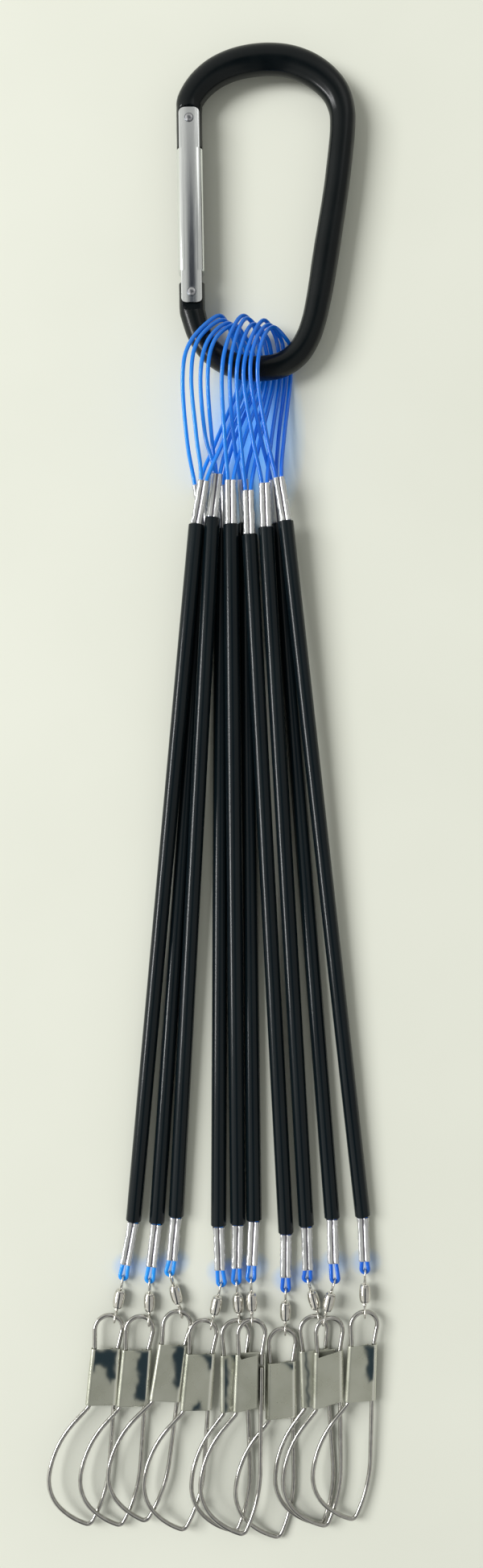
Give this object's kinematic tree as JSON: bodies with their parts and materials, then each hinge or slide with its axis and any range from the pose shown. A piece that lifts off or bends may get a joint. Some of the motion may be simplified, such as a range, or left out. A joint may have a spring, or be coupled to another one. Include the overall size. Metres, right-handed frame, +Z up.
{
  "type": "fish stringer",
  "caption": "Fish stringer: a carabiner with a spring gate carries leashes of coated line in black tubes, each with crimps, a swivel and a wire snap that opens.",
  "frame": {"origin": "middle of the part on the table it lies on", "axes": "+Y toward the carabiner, +X to the right and +Z up, seen from above as in the picture"},
  "size_m": [0.099, 0.4456, 0.0154],
  "materials": {
    "anodised": "satin",
    "gate_metal": "satin",
    "nickel": "polished",
    "crimp_metal": "satin",
    "line_coat": "gloss",
    "tube_plastic": "satin"
  },
  "bodies": {
    "carabiner": {"carabiner_body": "anodised", "gate_pivot_pin": "gate_metal"},
    "gate": {"gate": "gate_metal", "gate_catch_pin": "gate_metal"},
    "leashes": {"line_01": "line_coat", "line_02": "line_coat", "line_03": "line_coat", "line_04": "line_coat", "line_05": "line_coat", "line_06": "line_coat", "line_07": "line_coat", "line_08": "line_coat", "line_09": "line_coat", "line_10": "line_coat", "tubes": "tube_plastic", "upper_crimps": "crimp_metal", "lower_crimps": "crimp_metal", "upper_eyes": "nickel", "snap_03": "nickel", "clasp_03": "nickel", "snap_05": "nickel", "clasp_05": "nickel", "snap_06": "nickel", "clasp_06": "nickel", "snap_07": "nickel", "clasp_07": "nickel", "snap_08": "nickel", "clasp_08": "nickel", "snap_09": "nickel", "clasp_09": "nickel"},
    "snap_01": {"snap_01": "nickel", "clasp_01": "nickel"},
    "snap_arm_01": {"snap_arm_01": "nickel"},
    "swivel_barrel_01": {"swivel_barrel_01": "nickel"},
    "snap_02": {"snap_02": "nickel", "clasp_02": "nickel"},
    "snap_arm_02": {"snap_arm_02": "nickel"},
    "swivel_barrel_02": {"swivel_barrel_02": "nickel"},
    "snap_arm_03": {"snap_arm_03": "nickel"},
    "swivel_barrel_03": {"swivel_barrel_03": "nickel"},
    "snap_04": {"snap_04": "nickel", "clasp_04": "nickel"},
    "snap_arm_04": {"snap_arm_04": "nickel"},
    "swivel_barrel_04": {"swivel_barrel_04": "nickel"},
    "snap_arm_05": {"snap_arm_05": "nickel"},
    "swivel_barrel_05": {"swivel_barrel_05": "nickel"},
    "snap_arm_06": {"snap_arm_06": "nickel"},
    "swivel_barrel_06": {"swivel_barrel_06": "nickel"},
    "snap_arm_07": {"snap_arm_07": "nickel"},
    "swivel_barrel_07": {"swivel_barrel_07": "nickel"},
    "snap_arm_08": {"snap_arm_08": "nickel"},
    "swivel_barrel_08": {"swivel_barrel_08": "nickel"},
    "snap_arm_09": {"snap_arm_09": "nickel"},
    "swivel_barrel_09": {"swivel_barrel_09": "nickel"},
    "snap_10": {"snap_10": "nickel", "clasp_10": "nickel"},
    "snap_arm_10": {"snap_arm_10": "nickel"},
    "swivel_barrel_10": {"swivel_barrel_10": "nickel"}
  },
  "joints": [
    {"name": "gate_open", "type": "hinge", "parent": "carabiner", "child": "gate", "pos_m": [-0.00636, 0.14827, 0.0061], "axis": [0, 0, -1], "range_deg": [0, 35], "stiffness_Nm_per_rad": 0.05, "springref_deg": -11.46},
    {"name": "leash_swing", "type": "hinge", "parent": "carabiner", "child": "leashes", "pos_m": [0.012, 0.12985, 0.00649], "axis": [0.9955, 0.0866, 0.0378], "range_deg": [0, 90]},
    {"name": "snap_open_01", "type": "hinge", "parent": "snap_01", "child": "snap_arm_01", "pos_m": [-0.03809, -0.21737, 0.00328], "axis": [-0.9759, 0.0658, 0.2079], "range_deg": [0, 25], "stiffness_Nm_per_rad": 0.02, "springref_deg": -5.73},
    {"name": "snap_open_02", "type": "hinge", "parent": "snap_02", "child": "snap_arm_02", "pos_m": [-0.02882, -0.21786, 0.00281], "axis": [-0.9761, 0.0634, 0.2079], "range_deg": [0, 25], "stiffness_Nm_per_rad": 0.02, "springref_deg": -5.73},
    {"name": "snap_open_03", "type": "hinge", "parent": "leashes", "child": "snap_arm_03", "pos_m": [-0.02126, -0.21583, 0.00409], "axis": [-0.975, 0.1298, 0.1805], "range_deg": [0, 25], "stiffness_Nm_per_rad": 0.02, "springref_deg": -5.73},
    {"name": "snap_open_04", "type": "hinge", "parent": "snap_04", "child": "snap_arm_04", "pos_m": [-0.00988, -0.21872, 0.00377], "axis": [-0.9773, 0.0663, 0.2011], "range_deg": [0, 25], "stiffness_Nm_per_rad": 0.02, "springref_deg": -5.73},
    {"name": "snap_open_05", "type": "hinge", "parent": "leashes", "child": "snap_arm_05", "pos_m": [0.00562, -0.21964, 0.00286], "axis": [-0.9784, -0.0304, 0.2045], "range_deg": [0, 25], "stiffness_Nm_per_rad": 0.02, "springref_deg": -5.73},
    {"name": "snap_open_06", "type": "hinge", "parent": "leashes", "child": "snap_arm_06", "pos_m": [0.00784, -0.21854, 0.00674], "axis": [0.9884, -0.0171, -0.1512], "range_deg": [0, 25], "stiffness_Nm_per_rad": 0.02, "springref_deg": -5.73},
    {"name": "snap_open_07", "type": "hinge", "parent": "leashes", "child": "snap_arm_07", "pos_m": [0.01847, -0.22204, 0.00169], "axis": [-0.9815, -0.0153, 0.1908], "range_deg": [0, 25], "stiffness_Nm_per_rad": 0.02, "springref_deg": -5.73},
    {"name": "snap_open_08", "type": "hinge", "parent": "leashes", "child": "snap_arm_08", "pos_m": [0.03122, -0.21834, 0.00139], "axis": [-0.9856, -0.0721, 0.153], "range_deg": [0, 25], "stiffness_Nm_per_rad": 0.02, "springref_deg": -5.73},
    {"name": "snap_open_09", "type": "hinge", "parent": "leashes", "child": "snap_arm_09", "pos_m": [0.03255, -0.218, 0.00305], "axis": [-0.9776, -0.0202, 0.2095], "range_deg": [0, 8], "stiffness_Nm_per_rad": 0.02, "springref_deg": -5.73},
    {"name": "snap_open_10", "type": "hinge", "parent": "snap_10", "child": "snap_arm_10", "pos_m": [0.04078, -0.21613, 0.00286], "axis": [-0.9723, 0.0147, 0.2333], "range_deg": [0, 25], "stiffness_Nm_per_rad": 0.02, "springref_deg": -5.73},
    {"name": "snap_turn_01", "type": "hinge", "parent": "leashes", "child": "snap_01", "pos_m": [-0.02781, -0.14795, 0.00248], "axis": [0.1925, 0.9813, -0.007], "range_deg": [0, 90]},
    {"name": "snap_turn_02", "type": "hinge", "parent": "leashes", "child": "snap_02", "pos_m": [-0.0192, -0.14896, 0.00224], "axis": [0.0157, 0.9997, 0.0192], "range_deg": [0, 12]},
    {"name": "snap_turn_04", "type": "hinge", "parent": "leashes", "child": "snap_04", "pos_m": [0.00131, -0.14983, 0.00263], "axis": [0.2249, 0.9741, -0.0227], "range_deg": [0, 120]},
    {"name": "snap_turn_10", "type": "hinge", "parent": "leashes", "child": "snap_10", "pos_m": [0.04511, -0.1458, 0.00353], "axis": [0.007, 0.9972, -0.075], "range_deg": [0, 150]},
    {"name": "barrel_spin_01", "type": "hinge", "parent": "leashes", "child": "swivel_barrel_01", "pos_m": [-0.02781, -0.14795, 0.00248], "axis": [-0.1925, -0.9813, 0.007], "continuous": true},
    {"name": "barrel_spin_02", "type": "hinge", "parent": "leashes", "child": "swivel_barrel_02", "pos_m": [-0.0192, -0.14896, 0.00224], "axis": [-0.0157, -0.9997, -0.0192], "continuous": true},
    {"name": "barrel_spin_03", "type": "hinge", "parent": "leashes", "child": "swivel_barrel_03", "pos_m": [-0.01199, -0.14671, 0.00232], "axis": [0.2655, -0.9641, 0.007], "continuous": true},
    {"name": "barrel_spin_04", "type": "hinge", "parent": "leashes", "child": "swivel_barrel_04", "pos_m": [0.00131, -0.14983, 0.00263], "axis": [-0.2249, -0.9741, 0.0227], "continuous": true},
    {"name": "barrel_spin_05", "type": "hinge", "parent": "leashes", "child": "swivel_barrel_05", "pos_m": [0.00712, -0.14937, 0.00218], "axis": [0.0784, -0.9963, -0.0349], "continuous": true},
    {"name": "barrel_spin_06", "type": "hinge", "parent": "leashes", "child": "swivel_barrel_06", "pos_m": [0.01127, -0.1482, 0.00388], "axis": [0.0279, -0.9987, 0.0436], "continuous": true},
    {"name": "barrel_spin_07", "type": "hinge", "parent": "leashes", "child": "swivel_barrel_07", "pos_m": [0.02148, -0.15167, 0.00231], "axis": [-0.0087, -0.9995, -0.0314], "continuous": true},
    {"name": "barrel_spin_08", "type": "hinge", "parent": "leashes", "child": "swivel_barrel_08", "pos_m": [0.02921, -0.1485, 0.0022], "axis": [0.2839, -0.9584, -0.0279], "continuous": true},
    {"name": "barrel_spin_09", "type": "hinge", "parent": "leashes", "child": "swivel_barrel_09", "pos_m": [0.03499, -0.14814, 0.00443], "axis": [-0.2569, -0.9657, 0.0384], "continuous": true},
    {"name": "barrel_spin_10", "type": "hinge", "parent": "leashes", "child": "swivel_barrel_10", "pos_m": [0.04511, -0.1458, 0.00353], "axis": [-0.007, -0.9972, 0.075], "continuous": true}
  ]
}
